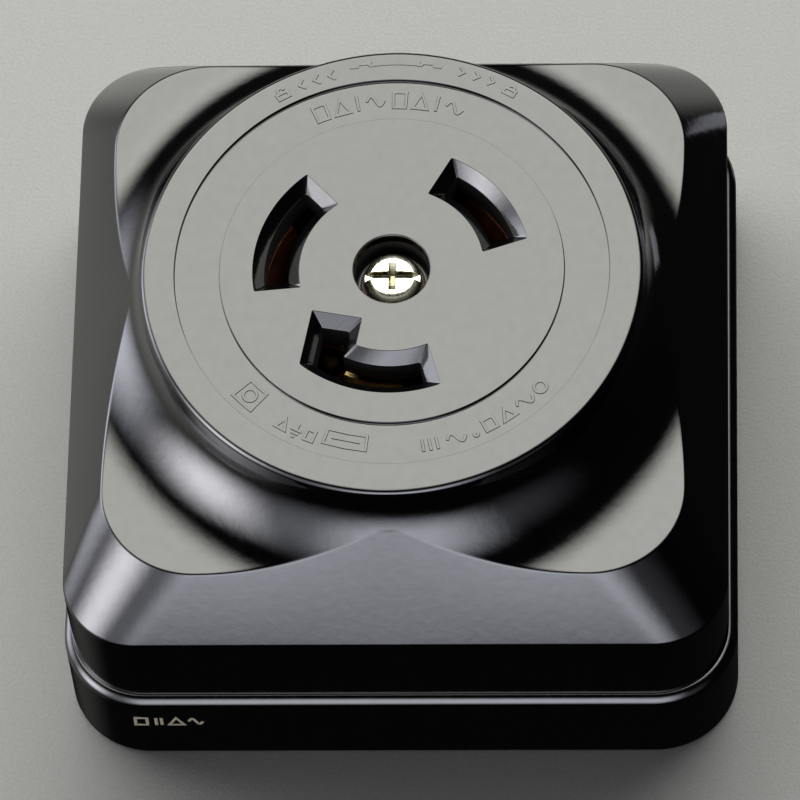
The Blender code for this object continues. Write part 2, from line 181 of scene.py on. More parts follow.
INSERT_R = (2.3, 3.8)
INSERT_Z = (20.0, 29.8)
INSERT_GROOVES = 3
GROOVE_DEPTH = 0.35

# Turned outlines as (radius, height, edge). The screw heads' heights run down from their tops,
# and the rivet head's run up from the metal it holds.
AXIS_R = 0.02
PAN_HEAD = (
    (AXIS_R, 0, 0),
    (1.3, -0.04, 0),
    (2.3, -0.16, 0),
    (3.0, -0.4, 0.4),
    (3.5, -1.0, 0.4),
    (HEAD_R, -1.7, 0.2),
)
CHEESE_HEAD = ((AXIS_R, 0, 0), (3.6, -0.15, 0.6), (TERMINAL_HEAD_R, -1.0, 0.4))
RIVET_HEAD = ((AXIS_R, 1.3, 0), (1.3, 1.1, 0.4), (1.9, 0.5, 0.3), (1.9, 0, 0.1), (1.1, 0, 0.1))
RIVET_TAIL = ((1.1, 2.3, 0.1), (2.4, 1.8, 0.2), (2.4, 0.9, 0.2), (AXIS_R, 0.9, 0))

# Raised and stamped marks
MARK_HALF_WIDTH = 0.21
MARK_HEIGHT = 0.14
MARK_SINK = 0.06
STAMP_HEIGHT = 0.04
STAMP_AT = (-29.7, 9.3)

# Fineness
ANGLES = 480  # points round the cover
ROUND = 96  # points round other turned surfaces
ROUND_STEPS = 4  # spans in each rounded edge
FILLET_STEPS = 30
FILLET_SKIP = 3  # steps at the fillet's top that the face's rounded edge takes up
FILLET_TOP_GAP = 0.3  # how far below the face the fillet's steps are counted from
SLOPE_STEPS = 8
SLOPE_CAMBER = 0.13  # how far the middle of each sloping side stands proud
HALVINGS = 40
BEVEL_ANGLE = 35.0
SHARP_ANGLE = 38.0  # edges that turn more than this stay sharp in the shading

# Camera, aimed at the middle of the object's height
AZIMUTH = 6.1154
ELEVATION = 62.4066
ROLL = -5.7093
DISTANCE = 908.61
AIM_Z = 15.75
FRAME_OFFSET = (0.56, 0.25)
SENSOR = 36.0
LENS = 315.13
CLIP_END = 20  # metres

# Light panels: distances in metres, then name, (azimuth, elevation) with azimuth 0 along +X,
# half angles spanned as seen from the object, radiance, colour, and the share that fades out
PANEL_DISTANCE = 0.9
PANEL_AIM_Z = 0.04
WARM, VIOLET = (0.99, 1.0, 0.935), (0.98, 1.0, 1.12)
GLOSS_PANELS = (
    ("back_panel", (93, 60), (49, 45.8), 6.75, WARM, 0.69),
    ("left_strip", (207, 12), (26, 36), 10.4, (1.0, 1.0, 1.06), 1.0),
    ("left_back_strip", (160, 8), (32, 36), 6.6, VIOLET, 1.0),
    ("front_strip", (-87, 17), (33, 37), 4.7, VIOLET, 0.85),
    ("front_left_glow", (-115, 13), (52, 40), 1.6, VIOLET, 1.0),
    ("front_right_glow", (-55, 10), (30, 32), 0.4, VIOLET, 1.0),
    ("back_floor_glow", (88, -32), (42, 26), 0.55, WARM, 0.5),
    ("back_right_glow", (41.5, -24), (5.2, 6), 0.75, VIOLET, 0.4),
    ("left_floor_glow", (165, -35), (60, 35), 0.5, WARM, 1.0),
)
DULL_PANELS = (
    ("key_panel", (100, 48), (60, 30), 7.4, (1.0, 1.0, 0.975), 0.5),
    ("front_fill", (-50, 50), (45, 45), 0.25, (1.0, 1.0, 1.0), 1.0),
)


# ---------------------------------------------------------------- small shapes


def polar(radius, degrees):
    angle = math.radians(degrees)
    return (radius * math.cos(angle), radius * math.sin(angle))


def arc(radius, start, end, steps=24):
    return [polar(radius, start + (end - start) * i / steps) for i in range(steps + 1)]


def square_reach(degrees, half, corner):
    """Distance from the centre to a rounded square's outline in a direction."""
    x, y = sorted((abs(v) for v in polar(1.0, degrees)), reverse=True)
    reach = half / x
    flat = half - corner
    if reach * y > flat:
        reach = flat * (x + y) + math.sqrt(corner**2 - (flat * (x - y)) ** 2)
    return reach


def rounded_square(half, corner, steps=24):
    """Outline of a square with rounded corners, anticlockwise from above."""
    outline = []
    for quarter in range(4):
        middle = 45 + 90 * quarter
        cx, cy = polar((half - corner) * math.sqrt(2), middle)
        outline += [(cx + x, cy + y) for x, y in arc(corner, middle - 45, middle + 45, steps)]
    return outline


def round_corner(before, here, after, setback, steps, limit=0.49):
    """Points of a circular curve that starts and ends a setback away from a corner."""
    behind, ahead = before - here, after - here
    start = here + behind.normalized() * min(setback, limit * behind.length)
    end = here + ahead.normalized() * min(setback, limit * ahead.length)
    weight = math.sin(behind.angle(ahead) / 2)
    points = []
    for k in range(steps + 1):
        t = k / steps
        parts = ((1 - t) ** 2, 2 * weight * t * (1 - t), t**2)
        point = (start * parts[0] + here * parts[1] + end * parts[2]) / sum(parts)
        points.append((point.x, point.y))
    return points


def rounded_path(corners, steps=ROUND_STEPS):
    """Points of a path whose corners are (a, b, setback), with a curve in place of each corner."""
    points = []
    for i, (a, b, setback) in enumerate(corners):
        if not setback or i in (0, len(corners) - 1):
            points.append((a, b))
            continue
        before, after = Vector(corners[i - 1][:2]), Vector(corners[i + 1][:2])
        points += round_corner(before, Vector((a, b)), after, setback, steps)
    return points


def softened(outline, setback, steps=3, sharp=25.0):
    """A closed outline whose sharp corners are rounded."""
    result = []
    count = len(outline)
    for i, spot in enumerate(outline):
        here, before = Vector(spot), Vector(outline[i - 1])
        after = Vector(outline[(i + 1) % count])
        turn = math.degrees((here - before).angle(after - here))
        if turn < sharp:
            result.append(spot)
        else:
            result += round_corner(before, here, after, setback, steps)
    return result


# ---------------------------------------------------------------- mesh building


def add_ring(mesh, outline, z):
    """Vertices of an outline at a height."""
    return [mesh.verts.new((x * MM, y * MM, z * MM)) for x, y in outline]


def bridge(mesh, rings):
    """Joins rings with equal numbers of points by quads."""
    for low, high in zip(rings, rings[1:]):
        for i in range(len(low)):
            j = (i + 1) % len(low)
            mesh.faces.new((low[i], low[j], high[j], high[i]))


def bridge_and_cap(mesh, rings):
    """Joins rings by quads and closes both ends with a face."""
    bridge(mesh, rings)
    mesh.faces.new(rings[0])
    mesh.faces.new(rings[-1])


def fill_between(mesh, loops):
    """Fills a flat region bounded by an outer loop and any holes."""
    edges = []
    for loop in loops:
        for i, vertex in enumerate(loop):
            other = loop[(i + 1) % len(loop)]
            edges.append(mesh.edges.get((vertex, other)) or mesh.edges.new((vertex, other)))
    bmesh.ops.triangle_fill(mesh, edges=edges, use_beauty=True)


def turned_rings(mesh, path, steps=ROUND, at=(0.0, 0.0)):
    """Rings of a path of (radius, height) turned round a vertical axis."""
    rings = []
    for radius, z in path:
        circle = [polar(radius, 360 * i / steps) for i in range(steps)]
        rings.append(add_ring(mesh, [(x + at[0], y + at[1]) for x, y in circle], z))
    return rings


def plain_object(name, mesh):
    """An object from a bmesh, not yet shaded."""
    bmesh.ops.recalc_face_normals(mesh, faces=mesh.faces)
    data = bpy.data.meshes.new(name)
    mesh.to_mesh(data)
    mesh.free()
    made = bpy.data.objects.new(name, data)
    bpy.context.scene.collection.objects.link(made)
    return made


def shade(piece):
    """Smooth apart from the sharp edges, with the shading led by the big faces."""
    piece.data.shade_smooth()
    piece.data.set_sharp_from_angle(angle=math.radians(SHARP_ANGLE))
    normals = piece.modifiers.new("Weighted normals", "WEIGHTED_NORMAL")
    normals.keep_sharp = True


def new_piece(name, mesh):
    piece = plain_object(name, mesh)
    shade(piece)
    return piece


def turned(name, path, steps=ROUND, at=(0.0, 0.0), ring=False):
    """A turned solid. Its path runs from axis to axis, or is closed for a ring."""
    mesh = bmesh.new()
    rings = turned_rings(mesh, path, steps, at)
    if ring:
        bridge(mesh, [*rings, rings[0]])
    else:
        bridge_and_cap(mesh, rings)
    return new_piece(name, mesh)


# ---------------------------------------------------------------- cover


def side_at(z):
    """Half width and corner radius of the sloping sides at a height."""
    share = (z - SKIRT_TOP) / (PLATEAU_Z - SKIRT_TOP)
    half = COVER_HALF + share * (PLATEAU_HALF - COVER_HALF)
    corner = COVER_CORNER + share * (PLATEAU_CORNER - COVER_CORNER)
    return half, corner


def fillet_radius_at(z):
    rise = FACE_Z - z
    return BOSS_R + FILLET_R - math.sqrt(max(FILLET_R**2 - rise**2, 0.0))


def slope_meets_fillet(degrees):
    """Height where the sloping side and the fillet cross in a direction, or the plateau's."""
    low, high = PLATEAU_Z, WAIST_Z
    if square_reach(degrees, *side_at(low)) >= fillet_radius_at(low):
        return low
    for _ in range(HALVINGS):
        middle = (low + high) / 2
        if square_reach(degrees, *side_at(middle)) < fillet_radius_at(middle):
            low = middle
        else:
            high = middle
    return high


def fillet_and_plateau(end_z, end_r):
    """Points down the fillet and out over the plateau, evenly spaced, ending short of the edge."""
    turn_end = math.asin(min((FACE_Z - end_z) / FILLET_R, 1.0))
    turn_start = math.asin(FILLET_TOP_GAP / FILLET_R)
    curve = FILLET_R * (turn_end - turn_start)
    flat = max(end_r - BOSS_R - FILLET_R, 0.0) if end_z <= PLATEAU_Z else 0.0
    points = []
    for i in range(FILLET_SKIP, FILLET_STEPS):
        along = (curve + flat) * i / FILLET_STEPS
        if along < curve:
            turn = turn_start + along / FILLET_R
            r = BOSS_R + FILLET_R * (1 - math.cos(turn))
            points.append((r, FACE_Z - FILLET_R * math.sin(turn), 0))
        else:
            points.append((BOSS_R + FILLET_R + along - curve, PLATEAU_Z, 0))
    return points


def cover_section(degrees):
    """Radius and height of the cover's surface in one direction, from the face to its inside."""
    inner, outer = CHANNEL_R
    floor = FACE_Z - CHANNEL_DEPTH
    path = [
        (inner - 0.3, FACE_Z, 0),
        (inner, FACE_Z, CHANNEL_EDGE),
        (inner + CHANNEL_DRAFT, floor, CHANNEL_EDGE),
        (outer - CHANNEL_DRAFT, floor, CHANNEL_EDGE),
        (outer, FACE_Z, CHANNEL_EDGE),
        (BOSS_R, FACE_Z, FACE_EDGE),
    ]
    edge_z = slope_meets_fillet(degrees)
    edge_r = square_reach(degrees, *side_at(edge_z))
    path += fillet_and_plateau(edge_z, edge_r)
    path.append((edge_r, edge_z, PLATEAU_EDGE))
    for i in range(1, SLOPE_STEPS):
        share = i / SLOPE_STEPS
        z = edge_z + (SKIRT_TOP - edge_z) * share
        camber = 4 * SLOPE_CAMBER * share * (1 - share)
        path.append((square_reach(degrees, *side_at(z)) + camber, z, 0))
    skirt = square_reach(degrees, COVER_HALF, COVER_CORNER)
    inside = square_reach(degrees, COVER_HALF - WALL, COVER_CORNER - WALL)
    high_half, high_corner = side_at(CAVITY_HIGH_Z)
    ceiling = square_reach(degrees, high_half - CAVITY_INSET, high_corner - WALL)
    path += [
        (skirt, SKIRT_TOP, SKIRT_EDGE),
        (skirt, COVER_BOTTOM, COVER_FOOT_EDGE),
        (inside, COVER_BOTTOM, 0.25),
        (inside, CAVITY_LOW_Z, CAVITY_EDGE),
        (ceiling, CAVITY_HIGH_Z, CAVITY_EDGE),
        (BOSS_BORE_R, CAVITY_HIGH_Z, 0.4),
        (BOSS_BORE_R, WEB_BOTTOM, CAVITY_EDGE),
        (BOSS_BORE_R - 0.8, WEB_BOTTOM, 0),
    ]
    return rounded_path(path)


def add_cover_shell(mesh):
    """The outside and inside of the cover as one sheet. Returns its first and last loops."""
    sections = [cover_section(360 * i / ANGLES) for i in range(ANGLES)]
    rings = []
    for level in zip(*sections):
        ring = []
        for i, (r, z) in enumerate(level):
            x, y = polar(r, 360 * i / ANGLES)
            ring.append(mesh.verts.new((x * MM, y * MM, z * MM)))
        rings.append(ring)
    bridge(mesh, rings)
    return rings[0], rings[-1]


def add_screw_well(mesh):
    """The central recess, the screw's hole and the tube below. Returns its top and bottom loops."""
    bore, outside = TUBE_R
    path = [
        (RECESS_R + 0.4, FACE_Z, 0),
        (RECESS_R, FACE_Z, 0.2),
        (RECESS_R, SEAT_Z, 0.5),
        (SCREW_HOLE_R, SEAT_Z, 0.2),
        (SCREW_HOLE_R, TUBE_BORE_TOP, 0.2),
        (bore, TUBE_BORE_TOP, 0.4),
        (bore, TUBE_BOTTOM, 0.3),
        (outside, TUBE_BOTTOM, 0.3),
        (outside, WEB_BOTTOM, 0.8),
        (outside + 1.2, WEB_BOTTOM, 0),
    ]
    rings = turned_rings(mesh, rounded_path(path))
    bridge(mesh, rings)
    return rings[0], rings[-1]


def arc_slot_outline(ends, grow):
    """An arc slot with radial ends, grown on all sides by a distance."""
    inner, outer = SLOT_R[0] - grow, SLOT_R[1] + grow
    start, end = ends
    inner_shift = math.degrees(math.asin(grow / inner))
    outer_shift = math.degrees(math.asin(grow / outer))
    return arc(inner, start - inner_shift, end + inner_shift) + arc(
        outer, end + outer_shift, start - outer_shift
    )


def hook_point(along, side):
    """A point given by its distance along the hook's direction and to the left of it."""
    x, y = polar(along, HOOK_AXIS)
    dx, dy = polar(side, HOOK_AXIS - 90)
    return (x + dx, y + dy)


def hook_slot_outline(grow):
    """The front slot: an arc whose left end turns in towards the centre."""
    near = HOOK_NEAR - grow
    left, right = HOOK_SIDES[1] + grow, HOOK_SIDES[0] - grow
    inner, outer = SLOT_R[0] - grow, SLOT_R[1] + grow
    left_angle = HOOK_AXIS - math.degrees(math.asin(left / outer))
    right_angle = HOOK_AXIS - math.degrees(math.asin(right / inner))
    inner_end = SLOT_FRONT_END + math.degrees(math.asin(grow / inner))
    outer_end = SLOT_FRONT_END + math.degrees(math.asin(grow / outer))
    return [
        hook_point(near, left),
        *arc(outer, left_angle, outer_end),
        *arc(inner, inner_end, right_angle),
        hook_point(near, right),
    ]


def add_slot(mesh, outline_at):
    """A funnel mouth and a throat through the face. Returns its top and bottom loops."""
    path = [
        (SLOT_CHAMFER + 0.2, FACE_Z, 0),
        (SLOT_CHAMFER, FACE_Z, SLOT_LIP_EDGE),
        (0, FACE_Z - SLOT_CHAMFER_DEPTH, SLOT_THROAT_EDGE),
        (0, WEB_BOTTOM, 0),
    ]
    rings = [
        add_ring(mesh, softened(outline_at(grow), SLOT_CORNER), z) for grow, z in rounded_path(path)
    ]
    bridge(mesh, rings)
    return rings[0], rings[-1]


def make_cover():
    mesh = bmesh.new()
    loops = [
        add_cover_shell(mesh),
        add_screw_well(mesh),
        add_slot(mesh, lambda grow: arc_slot_outline(SLOT_LEFT, grow)),
        add_slot(mesh, lambda grow: arc_slot_outline(SLOT_RIGHT, grow)),
        add_slot(mesh, hook_slot_outline),
    ]
    for ends in zip(*loops):
        fill_between(mesh, ends)
    return new_piece("cover_shell", mesh)


# ---------------------------------------------------------------- base


def lofted(name, sections):
    """A closed solid through outlines at heights."""
    mesh = bmesh.new()
    bridge_and_cap(mesh, [add_ring(mesh, outline, z) for outline, z in sections])
    return plain_object(name, mesh)


def base_tray():
    """The tray as one loft of (inset, height, edge): outside, ledge, upstand and hollow."""
    ledge = BASE_HALF - RIM_HALF
    path = [
        (1.0, 0, 0),
        (0, 0, BASE_FOOT_EDGE),
        (0, BASE_HEIGHT, BASE_EDGE),
        (ledge, BASE_HEIGHT, 0.15),
        (ledge, RIM_TOP, RIM_EDGE),
        (ledge + RIM_THICK, RIM_TOP, RIM_EDGE),
        (ledge + RIM_THICK, BASE_FLOOR, 0.8),
        (ledge + RIM_THICK + 1.5, BASE_FLOOR, 0),
    ]
    sections = [
        (rounded_square(BASE_HALF - inset, BASE_CORNER - inset), z)
        for inset, z in rounded_path(path, steps=6)
    ]
    return lofted("base_tray", sections)


def pillar(name, radius, low, high, at=(0.0, 0.0), edge=0.0, steps=64):
    """A post with a rounded top edge, or a plain round cutter."""
    path = rounded_path([(0.01, low, 0), (radius, low, 0), (radius, high, edge), (0.01, high, 0)])
    mesh = bmesh.new()
    bridge_and_cap(mesh, turned_rings(mesh, path, steps, at))
    return plain_object(name, mesh)


def block(name, centre, size, degrees=0.0, edge=0.0):
    """A box turned about the vertical, with rounded edges."""
    mesh = bmesh.new()
    move = Matrix.Translation(Vector(centre) * MM)
    turn = Matrix.Rotation(math.radians(degrees), 4, "Z")
    shape = Matrix.Diagonal((*[side * MM for side in size], 1.0))
    bmesh.ops.create_cube(mesh, size=1.0, matrix=move @ turn @ shape)
    if edge:
        bmesh.ops.bevel(
            mesh, geom=mesh.edges, offset=edge * MM, segments=3, profile=0.5, affect="EDGES"
        )
    return plain_object(name, mesh)


def radial_block(name, degrees, radii, width, low, high, edge=0.0):
    x, y = polar(sum(radii) / 2, degrees)
    size = (radii[1] - radii[0], width, high - low)
    return block(name, (x, y, (low + high) / 2), size, degrees, edge)


def boolean(target, tools, operation):
    """One exact Boolean with every tool at once; the tools are removed."""
    group = bpy.data.collections.new("tools")
    for tool in tools:
        group.objects.link(tool)
    modifier = target.modifiers.new("Boolean", "BOOLEAN")
    modifier.operation = operation
    modifier.solver = "EXACT"
    modifier.operand_type = "COLLECTION"
    modifier.collection = group
    graph = bpy.context.evaluated_depsgraph_get()
    result = bpy.data.meshes.new_from_object(target.evaluated_get(graph))
    target.modifiers.clear()
    target.data = result
    for tool in tools:
        bpy.data.objects.remove(tool, do_unlink=True)
    bpy.data.collections.remove(group)


def base_posts():
    """What stands on the tray's floor."""
    low = BASE_FLOOR - OVERLAP
    posts = [pillar("pillar", PILLAR_R, low, PILLAR_TOP, edge=POST_EDGE)]
    for angle in POLES.values():
        pad = radial_block("pad", angle, PAD_R, PAD_WIDTH, low - 0.5, PAD_TOP, PAD_EDGE)
        posts.append(pad)
    for at in MOUNT_HOLES_AT:
        posts.append(pillar("boss", MOUNT_BOSS_R, low, MOUNT_BOSS_TOP, at, POST_EDGE))
    return posts


def knockout_cutter():
    """Thins the back side wall to a web that can be broken out for a cable."""
    inner = RIM_HALF - RIM_THICK - OVERLAP
    web = BASE_HALF - KNOCKOUT_WEB
    middle = (0, (inner + web) / 2, (BASE_FLOOR + KNOCKOUT_TOP) / 2)
    size = (2 * KNOCKOUT_HALF_WIDTH, web - inner, KNOCKOUT_TOP - BASE_FLOOR)
    return block("knockout", middle, size)


def base_cutters():
    top = PAD_TOP + OVERLAP
    cutters = [
        pillar("insert_hole", INSERT_HOLE_R, INSERT_BOTTOM, PILLAR_TOP + OVERLAP),
        pillar("wire_hole", WIRE_HOLE_R, -OVERLAP, BASE_FLOOR + OVERLAP, WIRE_HOLE_AT),
    ]
    for at in MOUNT_HOLES_AT:
        cutters.append(pillar("mount_hole", MOUNT_HOLE_R, -OVERLAP, MOUNT_BOSS_TOP + OVERLAP, at))
    cutters.append(knockout_cutter())
    half = NUT_SIDE / 2 + GAP
    radii = (TERMINAL_AT - half, TERMINAL_AT + half)
    low = PAD_TOP - NUT_HEIGHT - GAP
    for angle in POLES.values():
        cutters.append(radial_block("nut_pocket", angle, radii, 2 * half, low, top))
        at = polar(TERMINAL_AT, angle)
        cutters.append(pillar("relief", WASHER_HOLE_R, RELIEF_BOTTOM, low + OVERLAP, at))
        for radius in RIVETS_AT:
            at = polar(radius, angle)
            hole_low = RIVET_SINK_DEPTH - OVERLAP
            cutters.append(pillar("rivet_hole", RIVET_HOLE_R, hole_low, top, at))
            cutters.append(pillar("rivet_sink", RIVET_SINK_R, -OVERLAP, RIVET_SINK_DEPTH, at))
    return cutters


def make_base():
    base = base_tray()
    boolean(base, base_posts(), "UNION")
    boolean(base, base_cutters(), "DIFFERENCE")
    shade(base)
    return base


# ---------------------------------------------------------------- screws


def thread_radius(z, degrees, low, high, pitch, core, depth):
    """Radius of a right-hand thread between two heights, fading out at its ends."""
    phase = (z / pitch - degrees / 360) % 1.0
    tooth = 1 - abs(2 * phase - 1)
    tooth = min(max((tooth - THREAD_ROOT) / THREAD_FLANK, 0.0), 1.0)
    fade = min((z - low) / pitch, (high - z) / pitch, 1.0)
    return core + depth * tooth * max(fade, 0.0)


def raised(outline, level):
    """A turned outline moved up to a level."""
    return [(radius, level + z, edge) for radius, z, edge in outline]


def screw_with_thread(name, profile, thread, steps=48, at=(0.0, 0.0)):
    """A turned screw whose last stretch is a helical thread, ending in a small point."""
    low, high, pitch, core, depth = thread
    mesh = bmesh.new()
    rings = turned_rings(mesh, profile, steps, at)
    rows = int((high - low) / pitch * THREAD_ROWS)
    for row in range(rows + 1):
        z = high + (low - high) * row / rows
        ring = []
        for i in range(steps):
            angle = 360 * i / steps
            x, y = polar(thread_radius(z, angle, low, high, pitch, core, depth), angle)
            ring.append((x + at[0], y + at[1]))
        rings.append(add_ring(mesh, ring, z))
    point = [(core - 0.1, low - 0.1), (core - 0.5, low - POINT_LENGTH)]
    rings += turned_rings(mesh, point, steps, at)
    bridge_and_cap(mesh, rings)
    return plain_object(name, mesh)


def cross_outline(reach, half_width):
    points = []
    for quarter in range(4):
        turn = Matrix.Rotation(math.radians(90 * quarter), 2)
        for x, y in ((half_width, half_width), (reach, half_width), (reach, -half_width)):
            point = turn @ Vector((x, y))
            points.append((point.x, point.y))
    return sorted(points, key=lambda spot: math.atan2(spot[1], spot[0]))


def make_cover_screw():
    """Long pan-head screw with a combined cross and slot."""
    path = raised(PAN_HEAD, HEAD_TOP)
    path += [
        (HEAD_R, HEAD_BOTTOM, 0.15),
        (SHANK_R, HEAD_BOTTOM, 0.1),
        (SHANK_R, COVER_THREAD_TOP + 1.0, 0),
    ]
    thread = (SHANK_END + POINT_LENGTH, COVER_THREAD_TOP, SCREW_PITCH, 1.55, 0.43)
    screw = screw_with_thread("cover_screw_head_and_thread", rounded_path(path), thread)
    slot = block("slot", (0, 0, HEAD_TOP + 0.4), (3 * HEAD_R, 1.0, 3.0))
    cross = lofted(
        "cross",
        [(cross_outline(0.7, 0.3), HEAD_TOP - 1.75), (cross_outline(2.5, 0.5), HEAD_TOP + 0.3)],
    )
    boolean(screw, [slot, cross], "DIFFERENCE")
    bevel_edges(screw, 0.06)
    shade(screw)
    return screw


def bevel_edges(piece, width):
    bevel = piece.modifiers.new("Bevel", "BEVEL")
    bevel.width = width * MM
    bevel.segments = 2
    bevel.limit_method = "ANGLE"
    bevel.angle_limit = math.radians(BEVEL_ANGLE)


def make_terminal_screw(name, angle):
    """Slotted cheese-head screw of one terminal."""
    path = raised(CHEESE_HEAD, TERMINAL_HEAD_TOP)
    path += [
        (TERMINAL_HEAD_R, TERMINAL_HEAD_LOW, 0.2),
        (TERMINAL_SHANK_R, TERMINAL_HEAD_LOW, 0.1),
        (TERMINAL_SHANK_R, TERMINAL_HEAD_LOW - 0.9, 0),
    ]
    thread = (TERMINAL_END + POINT_LENGTH, TERMINAL_HEAD_LOW - 1.0, TERMINAL_PITCH, 1.75, 0.42)
    at = polar(TERMINAL_AT, angle)
    screw = screw_with_thread(f"terminal_screw_{name}_slotted", rounded_path(path), thread, at=at)
    size = (3 * TERMINAL_HEAD_R, TERMINAL_SLOT, TERMINAL_SLOT_HEIGHT)
    turn = angle + TERMINAL_SLOT_TURN
    boolean(screw, [block("slot", (*at, TERMINAL_HEAD_TOP - 0.1), size, turn)], "DIFFERENCE")
    bevel_edges(screw, 0.08)
    shade(screw)
    return screw


# ---------------------------------------------------------------- contacts and small parts


def make_jaw(name, angle, radii, flare):
    """One curved jaw of a blade clip, its lip bent aside in a smooth lead-in."""
    start, end = angle - JAW_HALF_ARC, angle + JAW_HALF_ARC
    inner, outer = radii
    bend = (0, JAW_TOP - JAW_FLARE_HEIGHT, JAW_FLARE_EDGE)
    sections = []
    for shift, z in rounded_path([(0, STRAP_Z[0], 0), bend, (flare, JAW_TOP, 0)], steps=6):
        outline = arc(inner + shift, start, end) + arc(outer + shift, end, start)
        sections.append((outline, z))
    return lofted(name, sections)


def finish_strip(strip, foot, holes, edge):
    """Joins a jaw to its foot, drills the foot and softens the cut edges."""
    boolean(strip, [foot], "UNION")
    low, high = STRAP_Z[0] - OVERLAP, STRAP_Z[1] + OVERLAP
    drills = [pillar("drill", radius, low, high, at, steps=40) for at, radius in holes]
    boolean(strip, drills, "DIFFERENCE")
    bevel_edges(strip, edge)
    shade(strip)
    return strip


def make_contact(name, angle):
    """Strap with the fixed outer jaw of the blade clip standing on its inner end."""
    strip = make_jaw(f"contact_strip_{name}", angle, JAW_R, JAW_FLARE)
    foot = radial_block("foot", angle, STRAP_R, STRAP_WIDTH, *STRAP_Z)
    holes = [
        (polar(CONTACT_RIVET_AT, angle), RIVET_HOLE_R),
        (polar(TERMINAL_AT, angle), WASHER_HOLE_R),
    ]
    return finish_strip(strip, foot, holes, 0.15)


def make_contact_leaf(name, angle):
    """The springy inner jaw on its riveted foot."""
    strip = make_jaw(f"contact_spring_{name}", angle, LEAF_R, -JAW_FLARE)
    radii = (LEAF_FOOT_R, sum(LEAF_R) / 2)
    foot_z = (STRAP_Z[0], STRAP_Z[0] + LEAF_THICK)
    foot = radial_block("foot", angle, radii, LEAF_FOOT_WIDTH, *foot_z)
    return finish_strip(strip, foot, [(polar(LEAF_RIVET_AT, angle), RIVET_HOLE_R)], 0.1)


def make_rivet(name, angle, radius, plate_top):
    """Solid rivet: round head above the metal, spread end sunk in the back of the base."""
    path = raised(RIVET_HEAD, plate_top + GAP) + list(RIVET_TAIL)
    return turned(name, rounded_path(path), 40, polar(radius, angle))


def make_terminal_plate(name, angle, heights, hole_r, edge):
    """A square plate with a round hole, its corners and edges softened."""
    low, high = heights
    x, y = polar(TERMINAL_AT, angle)
    size = (NUT_SIDE, NUT_SIDE, high - low)
    plate = block(name, (x, y, (low + high) / 2), size, angle, edge)
    drill = pillar("drill", hole_r, low - OVERLAP, high + OVERLAP, (x, y), steps=48)
    boolean(plate, [drill], "DIFFERENCE")
    bevel_edges(plate, 0.12)
    shade(plate)
    return plate


def make_ring(name, radii, heights, edge, grooves=0):
    """A turned ring with rounded edges, and grooves round its outside if wanted."""
    inner, outer = radii
    low, high = heights
    path = [(inner, (low + high) / 2, 0), (inner, high, edge), (outer, high, edge)]
    pitch = (high - low) / (grooves + 1)
    for i in range(grooves):
        z = high - pitch * (i + 1)
        for depth, shift in ((0, 0.5), (GROOVE_DEPTH, 0.3), (GROOVE_DEPTH, -0.3), (0, -0.5)):
            path.append((outer - depth, z + shift, 0.1))
    path += [(outer, low, edge), (inner, low, edge), (inner, (3 * low + high) / 4, 0)]
    return turned(name, rounded_path(path), 72, ring=True)


# ---------------------------------------------------------------- raised and stamped marks


def add_stroke(mesh, points, at, height, closed=False):
    """A raised line with a half-round section; at(u, v, up) gives a place on the surface."""
    arch = [math.radians(45 * k) for k in range(5)]
    section = [(MARK_HALF_WIDTH * math.cos(t), height * math.sin(t)) for t in arch]
    section += [(-MARK_HALF_WIDTH, -MARK_SINK), (MARK_HALF_WIDTH, -MARK_SINK)]
    points = [Vector(point) for point in points]
    last = len(points) - 1
    rings = []
    for i, here in enumerate(points):
        ahead = (points[(i + 1) % len(points)] - here).normalized()
        behind = (here - points[i - 1]).normalized()
        if not closed:
            ahead = behind if i == last else ahead
            behind = ahead if i == 0 else behind
        along = (ahead + behind).normalized()
        side = Vector((-along.y, along.x)) / max(along.dot(ahead), 0.5)
        spots = [(here + side * across, up) for across, up in section]
        rings.append([mesh.verts.new(Vector(at(spot.x, spot.y, up)) * MM) for spot, up in spots])
    if closed:
        bridge(mesh, [*rings, rings[0]])
    else:
        bridge_and_cap(mesh, rings)


def on_face(radius, degrees, level, outward):
    """Places on the round face; outward is 1 where the marks' tops point away from the centre."""

    def at(u, v, up):
        turn = degrees - outward * math.degrees(u / radius)
        return (*polar(radius + outward * v, turn), level + up)

    return at


def on_base_front(x, z):
    def at(u, v, up):
        return (x + u, -BASE_HALF - up, z + v)

    return at


def box_line(u, width, height):
    """A rectangle's outline centred at u, as a closed stroke."""
    w, h = width / 2, height / 2
    return [(u - w, -h), (u, -h), (u + w, -h), (u + w, h), (u, h), (u - w, h)], True


def ring_line(u, radius, v=0.0):
    """A circle as a closed stroke."""
    return [(u + x, v + y) for x, y in arc(radius, 0, 337.5, 15)], True


def triangle_line(u, width, height):
    w, h = width / 2, height / 2
    return [(u - w, -h), (u + w, -h), (u, h)], True


def wave_line(u, width, height, cycles=1):
    steps = 14 * cycles
    shares = [i / steps for i in range(steps + 1)]
    swing = [math.sin(2 * math.pi * cycles * share) * height / 2 for share in shares]
    return [(u + width * (share - 0.5), v) for share, v in zip(shares, swing)], False


def bar_line(u, height, v=0.0):
    return [(u, v - height / 2), (u, v + height / 2)], False


def level_line(u, width, v=0.0):
    return [(u - width / 2, v), (u + width / 2, v)], False


def chevron_line(u, height, way):
    reach = way * height / 4
    return [(u - reach, -height / 2), (u + reach, 0), (u - reach, height / 2)], False


def padlock_lines(u, is_open):
    """A padlock's body and shackle, with the shackle's right leg short where it is open."""
    lift = 0.2 if is_open else 0.0
    bow = [(u + x, lift + 0.15 + y) for x, y in arc(0.42, 180, 0, 8)]
    legs = [(u - 0.42, 0.0), *bow] + ([] if is_open else [(u + 0.42, 0.0)])
    body = [(u - 0.75, -0.75), (u + 0.75, -0.75), (u + 0.75, 0.0), (u - 0.75, 0.0)]
    return [(body, True), (legs, False)]


